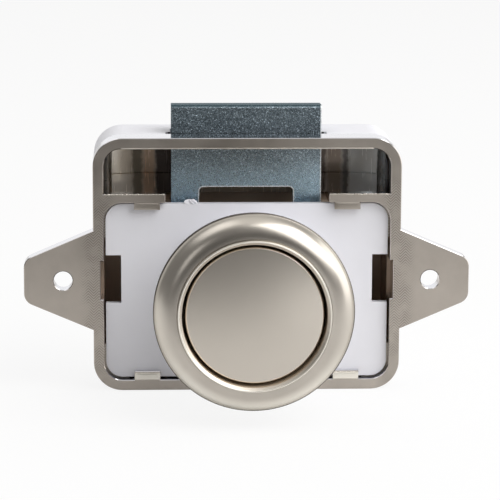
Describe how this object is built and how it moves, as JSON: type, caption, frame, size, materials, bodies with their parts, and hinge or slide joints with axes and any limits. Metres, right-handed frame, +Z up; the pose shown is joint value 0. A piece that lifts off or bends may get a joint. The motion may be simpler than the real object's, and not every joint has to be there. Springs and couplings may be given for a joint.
{
  "type": "push button cabinet lock",
  "caption": "Push button lock for a cabinet door: a round button in a domed ring slides in and out and lifts a flat bent latch above an eared frame.",
  "frame": {"origin": "the button's axis on the frame face that meets the inside of the door, midway between the two screw holes", "axes": "+X to the right seen from outside the door, -Y out of the door towards the user, +Z up, the way the latch rises"},
  "size_m": [0.08, 0.0496, 0.0512],
  "materials": {
    "satin_nickel": "satin nickel plate on cast zinc",
    "white_plastic": "moulded, fine satin",
    "bright_steel": "bright sheet steel",
    "zinc_plated_steel": "blue zinc plate",
    "nickel_brass": "nickel plate on turned brass",
    "plated_fasteners": "zinc plated",
    "ground_steel": "ground pins",
    "cast_zinc": "bare zinc casting",
    "bearing_plastic": "natural acetal",
    "soft_rubber": "soft stop",
    "spring_wire": "drawn spring steel"
  },
  "bodies": {
    "housing": {"mounting_frame": "satin_nickel", "rear_case": "white_plastic", "cover_plate": "white_plastic", "steel_liner": "bright_steel", "catch_track": "bearing_plastic", "guide_posts": "ground_steel", "spring_pin": "ground_steel", "case_screws": "plated_fasteners", "threaded_sleeve": "nickel_brass", "sleeve_locknut": "nickel_brass", "rosette_ring": "satin_nickel", "stem_bushes": "bearing_plastic", "buffer_ring": "soft_rubber", "ejector_spring": "spring_wire"},
    "button": {"carriage": "cast_zinc", "stem": "nickel_brass", "stem_nut": "plated_fasteners", "button_cap": "satin_nickel", "cap_nut": "plated_fasteners", "cam_pin": "ground_steel", "catch_wire": "spring_wire"},
    "latch": {"latch_bolt": "zinc_plated_steel"}
  },
  "joints": [
    {"name": "button_slide", "type": "slide", "parent": "housing", "child": "button", "axis": [0, -1, 0], "range_m": [-0.0012, 0.0075], "deforming": ["ejector_spring", "catch_wire"]},
    {"name": "latch_slide", "type": "slide", "parent": "housing", "child": "latch", "axis": [0, 0, 1], "range_m": [-0.00525, 0.00084]}
  ],
  "couplings": [
    {"joint": "latch_slide", "follows": "button_slide", "ratio": -0.7}
  ]
}
